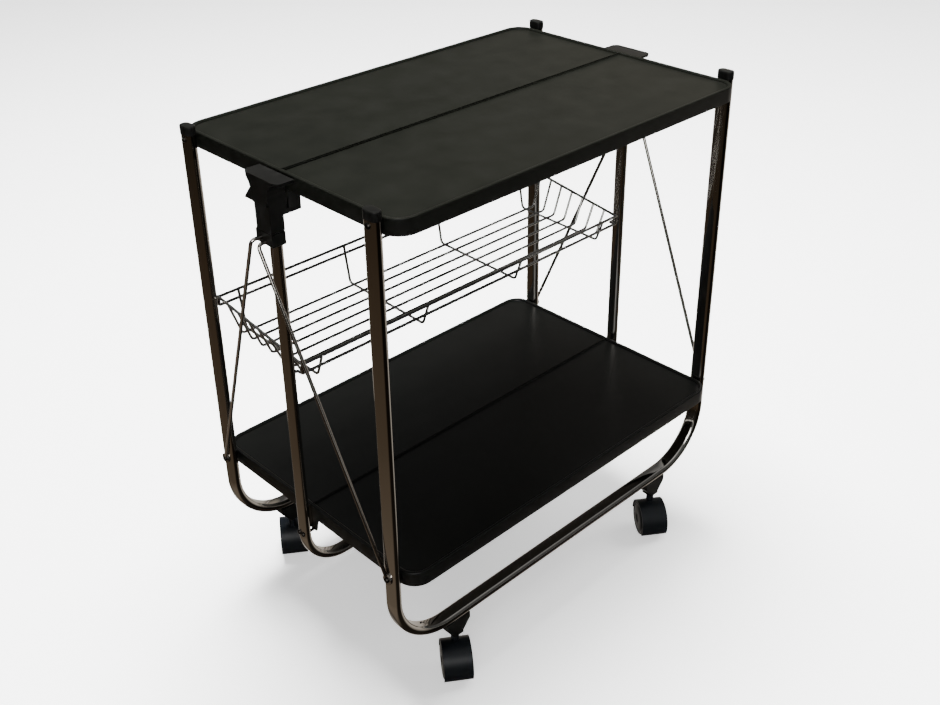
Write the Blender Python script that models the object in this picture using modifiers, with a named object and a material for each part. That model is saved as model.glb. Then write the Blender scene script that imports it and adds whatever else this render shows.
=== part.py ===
# Folding two-shelf trolley: three U-shaped tube frames, four hinged tray halves, a wire basket,
# stay rods on sliders and four twin-wheel castors.
# X runs along the trolley, Y across it and Z up from the floor. The front is -Y, the left end -X.
import math

import bmesh
import bpy
from mathutils import Matrix, Vector

# Driving dimensions, in metres.
UPRIGHT_X = 0.320            # centre line of the outer uprights, from the middle
CENTER_UPRIGHT_X = 0.325     # the middle frame is a little longer
SIDE_FRAME_Y = 0.1795        # plane of the front and back frames, from the middle
RIM_TOP_Z = 0.7365           # rim of the upper shelf
SHELF_PITCH = 0.4922         # height from the lower shelf to the upper one
RAIL_Z = 0.1067              # centre of the side frames' floor rails
CENTER_RAIL_Z = 0.1410       # centre of the middle frame's rail
GAP = 0.0003                 # play between pieces that touch

SIDE_TUBE = (0.0136, 0.0230)  # flat-oval tube: thickness in the frame's plane, width across it
CENTER_TUBE = (0.012, 0.019)
SIDE_BEND = 0.088            # bend radius on the tube's centre line
CENTER_BEND = 0.062
SIDE_TUBE_TOP_Z = 0.7350
CENTER_TUBE_TOP_Z = 0.7220
CAP_HEIGHT = 0.0117
CAP_OVERHANG = 0.0006

TRAY_HALF_LENGTH = 0.3115
TRAY_HALF_WIDTH = 0.2095
TRAY_CORNER = 0.028
TRAY_DEPTH = 0.021
TRAY_RECESS = 0.0030
TRAY_LIP = 0.0050
TRAY_SHEET = 0.0015
SPLIT_GAP = 0.0003           # half the gap between the two halves of a shelf
OUTER_PIVOT_DROP = 0.0075    # rim to the pivot on a side frame
CENTER_PIVOT_DROP = 0.0385   # rim to the pivot on the middle frame
CENTER_PIVOT_Y = 0.0042
LUG_RADIUS = 0.0038

SHANK_RADIUS = 0.0021
HOLE_RADIUS = 0.0026
HEAD_RADIUS = 0.0040
CENTER_HEAD_RADIUS = 0.0036
HEAD_HEIGHT = 0.0024
TAIL_RADIUS = 0.0026
TAIL_HEIGHT = 0.0018

GRIP_X = (0.3145, 0.3400)    # inner and outer edges of the grip plate
GRIP_HALF_WIDTH = 0.0340
GRIP_CORNER = 0.0100         # plan radius of the grip plate's outer corners
HUB_TOP_Z = 0.7350
SLEEVE_BOTTOM_Z = 0.6645
SLEEVE_X = (0.3175, 0.3375)  # inner and outer faces of sleeve and slider
SLEEVE_Y = (-0.0110, 0.0185)
SLIDER_Y = (-0.0120, 0.0220)
SLIDER_Z = (0.6465, 0.6640)
ROD_RADIUS = 0.0025
ROD_BEND = 0.006
STAY_HOOKS = {"front": (0.3510, 0.0000, 0.6525), "back": (0.3540, 0.0085, 0.6565)}

BASKET_PIVOT_Z = 0.4565      # on the middle frame
BASKET_PIVOT_RISE = CENTER_PIVOT_DROP - OUTER_PIVOT_DROP
WIRE_RADIUS = 0.0019
RAIL_WIRE_RADIUS = 0.0021
BASKET_END_X = 0.3095

STEM_X = {"front": 0.216, "back": 0.228}
WHEEL_RADIUS = 0.027
WHEEL_FACES = (0.0060, 0.0205)
HOOD_RADIUS = 0.030
HOOD_SPAN = (2, 214)         # degrees round the axle, lower on the front side
WEB_RADIUS = 0.0240           # body between the two wheels
CASTOR_TRAIL = 0.008
AXLE_AZIMUTH = math.radians(-35)
STEM_RADIUS = 0.0040
BOSS_TOP_Z = 0.0700

SIDES = {"front": -1, "back": 1}
ENDS = {"left": -1, "right": 1}
SHELVES = {"upper": RIM_TOP_Z, "lower": RIM_TOP_Z - SHELF_PITCH}

for old in list(bpy.data.objects):
    bpy.data.objects.remove(old)
PARTS = bpy.data.collections.new("folding_trolley")
CUTTERS = bpy.data.collections.new("cutters")
for collection in (PARTS, CUTTERS):
    bpy.context.scene.collection.children.link(collection)


def material(name, color, roughness, metallic=0.0):
    made = bpy.data.materials.new(name)
    made.use_nodes = True
    shader = made.node_tree.nodes["Principled BSDF"]
    shader.inputs["Base Color"].default_value = (*color, 1)
    shader.inputs["Roughness"].default_value = roughness
    shader.inputs["Metallic"].default_value = metallic
    return made


CHROME = material("chrome_tube", (0.62, 0.58, 0.54), 0.12, 1.0)
WIRE = material("chrome_wire", (0.70, 0.70, 0.70), 0.18, 1.0)
STEEL = material("zinc_steel", (0.55, 0.55, 0.56), 0.30, 1.0)
TRAY = material("black_tray", (0.020, 0.021, 0.018), 0.45)
PLASTIC = material("black_plastic", (0.012, 0.012, 0.014), 0.40)
TREAD = material("castor_tread", (0.020, 0.023, 0.028), 0.35)


def place(obj, coat, collection=PARTS):
    collection.objects.link(obj)
    if coat:
        obj.data.materials.append(coat)
    return obj


def curve_to_mesh(obj, name):
    """A welded mesh of the curve, so that it can be cut or joined."""
    bpy.context.view_layer.update()
    evaluated = obj.evaluated_get(bpy.context.evaluated_depsgraph_get())
    mesh = bpy.data.meshes.new_from_object(evaluated)
    mesh.transform(obj.matrix_world)
    bpy.data.objects.remove(obj)
    shape = bmesh.new()
    shape.from_mesh(mesh)
    bmesh.ops.remove_doubles(shape, verts=shape.verts, dist=1e-6)
    bmesh.ops.recalc_face_normals(shape, faces=shape.faces)
    shape.to_mesh(mesh)
    shape.free()
    mesh.materials.clear()
    return bpy.data.objects.new(name, mesh)


def outline_plate(name, outline, thickness, frame=Matrix()):
    """A flat outline in local XY with its thickness centred on local Z."""
    curve = bpy.data.curves.new(name, "CURVE")
    curve.dimensions = "2D"
    curve.fill_mode = "BOTH"
    curve.extrude = thickness / 2
    spline = curve.splines.new("POLY")
    spline.points.add(len(outline) - 1)
    for point, (u, v) in zip(spline.points, outline):
        point.co = (u, v, 0, 1)
    spline.use_cyclic_u = True
    obj = bpy.data.objects.new(name, curve)
    obj.matrix_world = frame
    bpy.context.scene.collection.objects.link(obj)
    return curve_to_mesh(obj, name)


def tube_along(name, points, radius, resolution=2):
    """Round bar along the given points."""
    curve = bpy.data.curves.new(name, "CURVE")
    curve.dimensions = "3D"
    curve.bevel_depth = radius
    curve.bevel_resolution = resolution
    curve.use_fill_caps = True
    spline = curve.splines.new("POLY")
    spline.points.add(len(points) - 1)
    for point, co in zip(spline.points, points):
        point.co = (*co, 1)
    obj = bpy.data.objects.new(name, curve)
    bpy.context.scene.collection.objects.link(obj)
    return curve_to_mesh(obj, name)


def box(name, low, high):
    mesh = bpy.data.meshes.new(name)
    shape = bmesh.new()
    size = Vector(high) - Vector(low)
    middle = (Vector(high) + Vector(low)) / 2
    bmesh.ops.create_cube(shape, size=1, matrix=Matrix.Translation(middle) @ Matrix.Diagonal((*size, 1)))
    shape.to_mesh(mesh)
    shape.free()
    return bpy.data.objects.new(name, mesh)


def rods(name, bars, segments=16):
    """Straight round bars (start, end, radius) in one mesh, used as bores or pins."""
    mesh = bpy.data.meshes.new(name)
    shape = bmesh.new()
    for start, end, radius in bars:
        start, end = Vector(start), Vector(end)
        run = end - start
        turn = run.to_track_quat("Z", "Y").to_matrix().to_4x4()
        bmesh.ops.create_cone(shape, cap_ends=True, segments=segments, radius1=radius, radius2=radius,
                              depth=run.length, matrix=Matrix.Translation((start + end) / 2) @ turn)
    shape.to_mesh(mesh)
    shape.free()
    return bpy.data.objects.new(name, mesh)


def combine(obj, tool, operation):
    """Cut the tool out of the object or join it on."""
    CUTTERS.objects.link(tool)
    tool.hide_render = True
    tool.display_type = "WIRE"
    step = obj.modifiers.new(operation.lower(), "BOOLEAN")
    step.operation = operation
    step.solver = "EXACT"
    step.object = tool


def turned(name, profile, steps, frame, coat):
    """Profile of (radius, height) turned about local Z."""
    mesh = bpy.data.meshes.new(name)
    shape = bmesh.new()
    corners = [shape.verts.new((radius, 0, height)) for radius, height in profile]
    for first, second in zip(corners, corners[1:]):
        shape.edges.new((first, second))
    shape.to_mesh(mesh)
    shape.free()
    obj = place(bpy.data.objects.new(name, mesh), coat)
    spin = obj.modifiers.new("spin", "SCREW")
    spin.steps = spin.render_steps = steps
    spin.use_merge_vertices = True
    spin.merge_threshold = 1e-5
    spin.use_smooth_shade = False
    obj.matrix_world = frame
    return obj


def arc(center, radius, start, stop, count):
    """Points on a circle, angles in degrees."""
    for step in range(count + 1):
        angle = math.radians(start + (stop - start) * step / count)
        yield center[0] + radius * math.cos(angle), center[1] + radius * math.sin(angle)


def oval(thickness, width, extra=0.0, count=6):
    """Flat-oval section, thin along the first axis."""
    radius = thickness / 2 + extra
    straight = (width - thickness) / 2
    return [*arc((0, straight), radius, 0, 180, count), *arc((0, -straight), radius, 180, 360, count)]


ALONG_X = Matrix.Rotation(math.radians(90), 4, "Y")
YZ_PLANE = Matrix(((0, 0, 1, 0), (1, 0, 0, 0), (0, 1, 0, 0), (0, 0, 0, 1)))
XZ_PLANE = Matrix(((1, 0, 0, 0), (0, 0, -1, 0), (0, 1, 0, 0), (0, 0, 0, 1)))


def u_frame(name, upright_x, y, tube, bend, rail_z, top_z):
    """One length of flat-oval tube bent into a U that stands on its rail."""
    section = bpy.data.curves.new(name + "_section", "CURVE")
    section.dimensions = "2D"
    ring = section.splines.new("POLY")
    ring_points = oval(*tube)
    ring.points.add(len(ring_points) - 1)
    for point, (u, v) in zip(ring.points, ring_points):
        point.co = (u, v, 0, 1)
    ring.use_cyclic_u = True
    section_object = bpy.data.objects.new(name + "_section", section)

    inner_x = upright_x - bend
    path = [(-upright_x, top_z), *arc((-inner_x, rail_z + bend), bend, 180, 270, 8),
            *arc((inner_x, rail_z + bend), bend, 270, 360, 8), (upright_x, top_z)]
    curve = bpy.data.curves.new(name, "CURVE")
    curve.dimensions = "2D"
    curve.bevel_mode = "OBJECT"
    curve.bevel_object = section_object
    curve.use_fill_caps = True
    spline = curve.splines.new("POLY")
    spline.points.add(len(path) - 1)
    for point, (x, z) in zip(spline.points, path):
        point.co = (x, z, 0, 1)
    obj = bpy.data.objects.new(name, curve)
    obj.matrix_world = Matrix.Translation((0, y, 0)) @ XZ_PLANE
    bpy.context.scene.collection.objects.link(obj)
    frame = place(curve_to_mesh(obj, name), CHROME)
    bpy.data.objects.remove(section_object)
    return frame


def side_frames():
    inside, outside = UPRIGHT_X - 0.010, UPRIGHT_X + 0.010
    for side, sign in SIDES.items():
        y = sign * SIDE_FRAME_Y
        frame = u_frame(side + "_frame", UPRIGHT_X, y, SIDE_TUBE, SIDE_BEND, RAIL_Z, SIDE_TUBE_TOP_Z)
        bores = []
        for end in ENDS.values():
            for rim in SHELVES.values():
                z = rim - OUTER_PIVOT_DROP
                bores.append(((end * inside, y, z), (end * outside, y, z), HOLE_RADIUS))
        for end in ENDS.values():
            stem_x = end * STEM_X[side]
            bores.append(((stem_x, y, RAIL_Z - 0.012), (stem_x, y, RAIL_Z + 0.003), 0.0045))
            if side == "back":
                z = BASKET_PIVOT_Z + BASKET_PIVOT_RISE
                bores.append(((end * inside, y, z), (end * (UPRIGHT_X - 0.0015), y, z), HOLE_RADIUS))
        combine(frame, rods(side + "_frame_bores", bores), "DIFFERENCE")


def center_frame():
    frame = u_frame("center_frame", CENTER_UPRIGHT_X, 0, CENTER_TUBE, CENTER_BEND, CENTER_RAIL_Z,
                    CENTER_TUBE_TOP_Z)
    inside, outside = CENTER_UPRIGHT_X - 0.010, CENTER_UPRIGHT_X + 0.010
    z = SHELVES["lower"] - CENTER_PIVOT_DROP
    bores = []
    for end in ENDS.values():
        for y in (-CENTER_PIVOT_Y, CENTER_PIVOT_Y):
            bores.append(((end * inside, y, z), (end * outside, y, z), HOLE_RADIUS))
        bores.append(((end * inside, CENTER_PIVOT_Y, BASKET_PIVOT_Z),
                      (end * (CENTER_UPRIGHT_X - 0.0015), CENTER_PIVOT_Y, BASKET_PIVOT_Z), HOLE_RADIUS))
    combine(frame, rods("center_frame_bores", bores), "DIFFERENCE")


def tube_caps():
    """Domed plug on the open top of each outer upright."""
    bottom = SIDE_TUBE_TOP_Z + GAP
    for side, sign in SIDES.items():
        for end, way in ENDS.items():
            center = Matrix.Translation((way * UPRIGHT_X, sign * SIDE_FRAME_Y, bottom + CAP_HEIGHT / 2))
            name = f"tube_cap_{side}_{end}"
            cap = place(outline_plate(name, oval(*SIDE_TUBE, extra=CAP_OVERHANG), CAP_HEIGHT, center), PLASTIC)
            dome = cap.modifiers.new("dome", "BEVEL")
            dome.width = 0.0025
            dome.segments = 2
            dome.limit_method = "ANGLE"
            dome.angle_limit = math.radians(50)


def tray_outline(inset=0.0, inner_y=SPLIT_GAP):
    """Plan of the back half of a shelf: round outer corners, straight edge at the split."""
    x, y = TRAY_HALF_LENGTH - inset, TRAY_HALF_WIDTH - inset
    radius = TRAY_CORNER - inset
    return [(x, inner_y), *arc((x - radius, y - radius), radius, 0, 90, 6),
            *arc((radius - x, y - radius), radius, 90, 180, 6), (-x, inner_y)]


def level(bottom, top):
    return Matrix.Translation((0, 0, (bottom + top) / 2))


def tray_half(name, rim, side):
    """Pressed tray half with a raised lip, a skirt and two pivot lugs at the split."""
    bottom, floor = rim - TRAY_DEPTH, rim - TRAY_RECESS
    way = SIDES[side]
    mirror = Matrix.Scale(way, 4, (0, 1, 0))

    def slab(label, outline, low, high):
        made = outline_plate(f"{name}_{label}", outline, high - low, level(low, high))
        if way < 0:
            made.data.transform(mirror)
            made.data.flip_normals()
        return made

    tray = place(slab("body", tray_outline(), bottom, rim), TRAY)
    tray.name = name
    combine(tray, slab("recess", tray_outline(TRAY_LIP, -0.01), floor, rim + 0.01), "DIFFERENCE")
    cavity = tray_outline(TRAY_SHEET, SPLIT_GAP + TRAY_SHEET)
    combine(tray, slab("cavity", cavity, bottom - 0.01, floor - TRAY_SHEET), "DIFFERENCE")
    # The lower part of the strip along the split is trimmed so that the halves can tip apart.
    notch_x = TRAY_HALF_LENGTH - TRAY_SHEET
    trim = box(f"{name}_trim", (-notch_x, -0.02, bottom - 0.01), (notch_x, 0.02, floor - 0.008))
    combine(tray, trim, "DIFFERENCE")
    pivot_z = rim - CENTER_PIVOT_DROP
    center_y = CENTER_PIVOT_Y
    lug = [*arc((center_y, pivot_z), LUG_RADIUS, 180, 360, 8), (0.014, bottom + 0.001),
           (0.014, bottom + 0.004), (center_y - LUG_RADIUS, bottom + 0.004)]
    lug = [(way * y, z) for y, z in lug]
    bores = []
    for end in ENDS.values():
        x = end * (TRAY_HALF_LENGTH - TRAY_SHEET / 2)
        ear = outline_plate(f"{name}_lug", lug, TRAY_SHEET, Matrix.Translation((x, 0, 0)) @ YZ_PLANE)
        combine(tray, ear, "UNION")
        near, far = end * (TRAY_HALF_LENGTH - 0.01), end * (TRAY_HALF_LENGTH + 0.01)
        for y, z in ((center_y, pivot_z), (SIDE_FRAME_Y, rim - OUTER_PIVOT_DROP)):
            bores.append(((near, way * y, z), (far, way * y, z), HOLE_RADIUS))
    combine(tray, rods(f"{name}_bores", bores), "DIFFERENCE")


def pivot_screw(name, end, y, z, head_x, head_radius=HEAD_RADIUS):
    """Shouldered rivet along X: round head outside, shank, and a formed tail inside the tray's skirt."""
    tail_x = TRAY_HALF_LENGTH - TRAY_SHEET - GAP
    length = head_x - tail_x
    profile = [(0, HEAD_HEIGHT), (head_radius * 0.6, HEAD_HEIGHT), (head_radius, HEAD_HEIGHT * 0.45),
               (head_radius, 0), (SHANK_RADIUS, 0), (SHANK_RADIUS, -length),
               (TAIL_RADIUS, -length), (TAIL_RADIUS, -length - TAIL_HEIGHT), (0, -length - TAIL_HEIGHT)]
    turn = Matrix.Rotation(math.radians(90 * end), 4, "Y")
    turned(name, profile, 14, Matrix.Translation((end * head_x, y, z)) @ turn, STEEL)


def pivots():
    side_face = UPRIGHT_X + SIDE_TUBE[0] / 2 + GAP
    center_face = CENTER_UPRIGHT_X + CENTER_TUBE[0] / 2 + GAP
    eye_face = side_face + 0.0030 + GAP
    for end, way in ENDS.items():
        for side, sign in SIDES.items():
            y = sign * SIDE_FRAME_Y
            pivot_screw(f"upper_pivot_{side}_{end}", way, y, SHELVES["upper"] - OUTER_PIVOT_DROP, side_face)
            pivot_screw(f"lower_pivot_{side}_{end}", way, y, SHELVES["lower"] - OUTER_PIVOT_DROP, eye_face)
            pivot_screw(f"center_pivot_{side}_{end}", way, sign * CENTER_PIVOT_Y,
                        SHELVES["lower"] - CENTER_PIVOT_DROP, center_face, CENTER_HEAD_RADIUS)


def handle_hub(end, way):
    """Grip plate, sleeve over the middle upright and the fork that carries the upper tray halves."""
    name = f"handle_hub_{end}"
    pivot_z = SHELVES["upper"] - CENTER_PIVOT_DROP
    front_y, back_y = SLEEVE_Y
    shield = [(GRIP_HALF_WIDTH, HUB_TOP_Z), (GRIP_HALF_WIDTH, HUB_TOP_Z - 0.0035),
              *arc((0.0400, 0.7130), 0.0205, 115, 180, 6), (back_y - 0.0008, 0.7060),
              (back_y - 0.0008, 0.7000), (front_y + 0.0008, 0.7000), (front_y + 0.0008, 0.7060),
              *arc((-0.0335, 0.7130), 0.0205, 0, 65, 6), (-GRIP_HALF_WIDTH, HUB_TOP_Z - 0.0035),
              (-GRIP_HALF_WIDTH, HUB_TOP_Z)]
    frame = Matrix.Translation((way * (GRIP_X[0] + GRIP_X[1]) / 2, 0, 0)) @ YZ_PLANE
    hub = place(outline_plate(name, shield, GRIP_X[1] - GRIP_X[0], frame), PLASTIC)
    inner, outer, radius = GRIP_X[0] - 0.01, GRIP_X[1] - GRIP_CORNER, GRIP_CORNER
    half = GRIP_HALF_WIDTH - GRIP_CORNER + 0.0002
    plan = [(inner, -0.05), (inner, 0.05), (GRIP_X[0] + 0.004, 0.05),
            (GRIP_X[0] + 0.004, half + radius), *arc((outer, half), radius, 90, 0, 8),
            *arc((outer, -half), radius, 360, 270, 8), (GRIP_X[0] + 0.004, -half - radius),
            (GRIP_X[0] + 0.004, -0.05)]
    plan = [(way * x, y) for x, y in plan]
    combine(hub, outline_plate(f"{name}_plan", plan, 0.2, Matrix.Translation((0, 0, HUB_TOP_Z - 0.02))),
            "INTERSECT")

    def block(label, x_in, x_out, y_low, y_high, z_low, z_high):
        xs = sorted((way * x_in, way * x_out))
        return box(f"{name}_{label}", (xs[0], y_low, z_low), (xs[1], y_high, z_high))

    combine(hub, block("sleeve", *SLEEVE_X, front_y, back_y, SLEEVE_BOTTOM_Z, 0.7260), "UNION")
    fork_low, floor = pivot_z - 0.0140, pivot_z - 0.0082
    combine(hub, block("fork", 0.2915, 0.3180, -0.0108, 0.0108, fork_low, pivot_z + 0.014), "UNION")
    fin = [(0.0180, 0.6975), (0.0405, 0.6975), (0.0270, 0.7140), (0.0180, 0.7140)]
    fin_frame = Matrix.Translation((way * 0.3335, 0, 0)) @ YZ_PLANE
    combine(hub, outline_plate(f"{name}_fin", fin, 0.0052, fin_frame), "UNION")
    combine(hub, block("slot", 0.3092, 0.3122, -0.03, 0.03, floor, 0.730), "DIFFERENCE")
    combine(hub, block("pocket", 0.2900, 0.3062, -0.0080, 0.0080, floor, 0.730), "DIFFERENCE")
    pins = [((way * 0.3075, y, pivot_z), (way * 0.3130, y, pivot_z), SHANK_RADIUS)
            for y in (-CENTER_PIVOT_Y, CENTER_PIVOT_Y)]
    combine(hub, rods(f"{name}_pins", pins), "UNION")
    bore_top = CENTER_TUBE_TOP_Z + 2 * GAP
    channel = outline_plate(f"{name}_channel", oval(*CENTER_TUBE, extra=GAP), bore_top - 0.60,
                            Matrix.Translation((way * CENTER_UPRIGHT_X, 0, (bore_top + 0.60) / 2)))
    combine(hub, channel, "DIFFERENCE")


def slider(end, way):
    """Block that runs on the middle upright and takes the hooked ends of two stay rods."""
    name = f"slider_{end}"
    xs = sorted(way * x for x in SLEEVE_X)
    low, high = ((x, y, z) for x, y, z in zip(xs, SLIDER_Y, SLIDER_Z))
    block = place(box(name, low, high), PLASTIC)
    channel = outline_plate(f"{name}_channel", oval(*CENTER_TUBE, extra=GAP), 0.2,
                            Matrix.Translation((way * CENTER_UPRIGHT_X, 0, SLIDER_Z[0])))
    combine(block, channel, "DIFFERENCE")


def stay_rod(side, end, way):
    """Round rod with a flattened eye at the lower pivot and a hook at the slider."""
    top_x, hook_y, hook_z = STAY_HOOKS[side]
    name = f"stay_{side}_{end}"
    eye_x = UPRIGHT_X + SIDE_TUBE[0] / 2 + GAP + 0.0015
    pivot = Vector((way * eye_x, SIDES[side] * SIDE_FRAME_Y, SHELVES["lower"] - OUTER_PIVOT_DROP))
    hook = Vector((way * top_x, hook_y, hook_z))
    run = (hook - pivot).normalized()
    start = pivot + run * 0.0062 + Vector((way * 0.0006, 0, 0))
    inward = Vector((-way, 0, 0))
    corner = [hook - run * ROD_BEND * (1 - math.sin(a)) + inward * ROD_BEND * (1 - math.cos(a))
              for a in (math.radians(90) * k / 4 for k in range(5))]
    tip = (way * (SLEEVE_X[1] + 2 * GAP), hook.y, hook.z)
    rod = place(tube_along(name, [start, *corner, tip], ROD_RADIUS), CHROME)
    eye_half = Vector((0.0014, 0, 0))
    combine(rod, rods(f"{name}_eye", [(pivot - eye_half, pivot + eye_half, 0.0075)], 20), "UNION")
    reach = Vector((0.01, 0, 0))
    combine(rod, rods(f"{name}_bore", [(pivot - reach, pivot + reach, HOLE_RADIUS)]), "DIFFERENCE")


def basket():
    """Welded wire basket hung between the back frame and the middle frame."""
    back_y, front_y = 0.1755, -0.0075
    floor_back, floor_front = 0.1655, 0.0050
    back_z, front_z = 0.4985, 0.4710
    second = 0.0130
    floor_z = (0.4430, 0.4390)
    pivot_back = (SIDE_FRAME_Y, BASKET_PIVOT_Z + BASKET_PIVOT_RISE, UPRIGHT_X - 0.0040)
    pivot_front = (CENTER_PIVOT_Y, BASKET_PIVOT_Z, CENTER_UPRIGHT_X - 0.0030)
    end_x, floor_x = BASKET_END_X, BASKET_END_X - 0.018

    def floor_at(y):
        share = (y - floor_front) / (floor_back - floor_front)
        return floor_z[1] + share * (floor_z[0] - floor_z[1])

    def rim_at(y):
        share = (y - front_y) / (back_y - front_y)
        return front_z + share * (back_z - front_z)

    wires = []
    for y, z in ((back_y, back_z), (back_y, back_z - second), (front_y, front_z), (front_y, front_z - second)):
        wires.append(([(-end_x, y, z), (end_x, y, z)], RAIL_WIRE_RADIUS))
    for way in ENDS.values():
        wires.append(([(way * end_x, front_y - 0.002, front_z), (way * end_x, back_y + 0.002, back_z)],
                      RAIL_WIRE_RADIUS))
        for (y, z, stub_x), rail_y, rail_z in ((pivot_back, back_y, back_z),
                                               (pivot_front, front_y, front_z)):
            run = [(way * end_x, rail_y, rail_z), (way * end_x, rail_y, rail_z - second),
                   (way * end_x, y, z), (way * stub_x, y, z)]
            wires.append((run, RAIL_WIRE_RADIUS))
    count = 7
    for step in range(count):
        y = floor_front + (floor_back - floor_front) * (step + 0.5) / count
        run = [(-end_x, y, rim_at(y)), (-floor_x, y, floor_at(y)), (floor_x, y, floor_at(y)),
               (end_x, y, rim_at(y))]
        wires.append((run, WIRE_RADIUS))
    for x in (-0.2775, -0.0925, 0.0925, 0.2775):
        drop = 0.0022
        run = [(x, back_y, back_z - second), (x, floor_back, floor_z[0] - drop),
               (x, floor_front, floor_z[1] - drop), (x, front_y, front_z)]
        wires.append((run, WIRE_RADIUS))

    members = bpy.data.collections.new("basket_wires")
    CUTTERS.children.link(members)
    first, *rest = wires
    frame = place(tube_along("basket", *first), WIRE)
    for number, (run, radius) in enumerate(rest):
        wire = tube_along(f"basket_wire_{number:02d}", run, radius, resolution=1)
        wire.hide_render = True
        wire.display_type = "WIRE"
        members.objects.link(wire)
    weld = frame.modifiers.new("weld", "BOOLEAN")
    weld.operation = "UNION"
    weld.solver = "EXACT"
    weld.operand_type = "COLLECTION"
    weld.collection = members


def castor(side, end):
    """Socket under the rail, stem, hood, axle and two wheels."""
    label = f"{side}_{end}"
    x, y = ENDS[end] * STEM_X[side], SIDES[side] * SIDE_FRAME_Y
    top = RAIL_Z - SIDE_TUBE[0] / 2 - GAP
    half = [(0.0215, top), (0.0215, top - 0.0100), (0.0085, top - 0.0255), (0.0085, BOSS_TOP_Z + GAP)]
    outline = half + [(-u, z) for u, z in reversed(half)]
    frame = Matrix.Translation((x, y, 0)) @ XZ_PLANE
    socket = place(outline_plate(f"castor_socket_{label}", outline, 0.0180, frame), PLASTIC)
    combine(socket, rods(f"socket_bore_{label}", [((x, y, 0.05), (x, y, 0.12), STEM_RADIUS + GAP)]),
            "DIFFERENCE")
    stem = [(0, 0.1088), (STEM_RADIUS * 0.7, 0.1088), (STEM_RADIUS, 0.1076), (STEM_RADIUS, 0.0480),
            (0, 0.0480)]
    turned(f"castor_stem_{label}", stem, 16, Matrix.Translation((x, y, 0)), STEEL)

    # Local frame: X along the axle, Y in the rolling direction, with the axle outboard of the stem.
    axle_frame = (Matrix.Translation((x, y, 0)) @ Matrix.Rotation(AXLE_AZIMUTH, 4, "Z")
                  @ Matrix.Translation((0, SIDES[side] * CASTOR_TRAIL, WHEEL_RADIUS)))
    along_axle = axle_frame @ YZ_PLANE
    inner = WHEEL_RADIUS + 0.0010
    start, stop = HOOD_SPAN
    cover = [*arc((0, 0), HOOD_RADIUS, start, stop, 20), *arc((0, 0), inner, stop, start, 20)]
    hood = place(outline_plate(f"castor_hood_{label}", cover, 2 * WHEEL_FACES[1], along_axle), PLASTIC)
    web = [*arc((0, 0), inner + 0.0008, 5, 130, 10), *arc((0, 0), WEB_RADIUS, 140, 355, 12)]
    combine(hood, outline_plate(f"hood_web_{label}", web, 2 * WHEEL_FACES[0] - 0.0016, along_axle), "UNION")
    boss = [((x, y, 0.0440), (x, y, BOSS_TOP_Z), WHEEL_FACES[0] - 0.0004)]
    combine(hood, rods(f"hood_boss_{label}", boss, 20), "UNION")
    reach = axle_frame.to_3x3() @ Vector((0.03, 0, 0))
    center = axle_frame.translation
    bores = [((x, y, 0.0472), (x, y, 0.08), STEM_RADIUS + GAP), (center - reach, center + reach, 0.0034)]
    combine(hood, rods(f"hood_bores_{label}", bores), "DIFFERENCE")

    across = axle_frame @ ALONG_X
    axle_half = WHEEL_FACES[1] - 0.0020
    axle = [(0, axle_half), (0.0030, axle_half), (0.0030, -axle_half), (0, -axle_half)]
    turned(f"castor_axle_{label}", axle, 14, across, STEEL)
    near, far = WHEEL_FACES
    tread = WHEEL_RADIUS
    wheel = [(0, far), (tread * 0.62, far), (tread * 0.70, far - 0.0012), (tread * 0.93, far - 0.0004),
             (tread, far - 0.0022), (tread, near + 0.0015), (tread * 0.95, near), (0.0034, near),
             (0.0034, axle_half + GAP), (0, axle_half + GAP)]
    for number, turn in (("inner", 0), ("outer", 180)):
        frame = across @ Matrix.Rotation(math.radians(turn), 4, "X")
        turned(f"wheel_{number}_{label}", wheel, 24, frame, TREAD)


def trolley():
    side_frames()
    center_frame()
    tube_caps()
    for shelf, rim in SHELVES.items():
        for side in SIDES:
            tray_half(f"{shelf}_tray_{side}", rim, side)
    pivots()
    for end, way in ENDS.items():
        handle_hub(end, way)
        slider(end, way)
        for side in SIDES:
            stay_rod(side, end, way)
    basket()
    for side in SIDES:
        for end in ENDS:
            castor(side, end)


trolley()
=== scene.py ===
import math

import bmesh
import bpy
from mathutils import Matrix, Vector


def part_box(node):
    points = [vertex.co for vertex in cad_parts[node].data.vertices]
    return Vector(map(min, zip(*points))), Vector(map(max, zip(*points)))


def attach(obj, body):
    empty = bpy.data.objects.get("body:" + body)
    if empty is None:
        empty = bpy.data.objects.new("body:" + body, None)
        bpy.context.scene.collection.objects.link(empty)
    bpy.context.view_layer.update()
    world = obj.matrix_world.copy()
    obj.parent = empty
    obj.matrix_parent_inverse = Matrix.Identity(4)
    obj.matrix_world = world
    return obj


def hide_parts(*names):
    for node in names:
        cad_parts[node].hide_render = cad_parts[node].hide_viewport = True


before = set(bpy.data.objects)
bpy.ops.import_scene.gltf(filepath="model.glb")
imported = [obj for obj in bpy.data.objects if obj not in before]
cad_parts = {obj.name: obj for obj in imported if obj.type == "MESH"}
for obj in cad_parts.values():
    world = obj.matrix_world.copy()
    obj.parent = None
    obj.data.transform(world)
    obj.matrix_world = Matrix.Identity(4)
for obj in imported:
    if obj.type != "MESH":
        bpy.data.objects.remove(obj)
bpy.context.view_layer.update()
print("frame loaded", len(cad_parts), "nodes")

ends = {"left": -1, "right": 1}
sides = {"front": -1, "back": 1}
alongX, alongY, alongZ = Vector((1, 0, 0)), Vector((0, 1, 0)), Vector((0, 0, 1))


# short forms for building node trees
def addNode(tree, kind, **values):
    node = tree.nodes.new(kind)
    for key, value in values.items():
        if key in node.inputs:
            node.inputs[key].default_value = value
        else:
            setattr(node, key, value)
    return node


def link(tree, a, b):
    tree.links.new(a, b)


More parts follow.
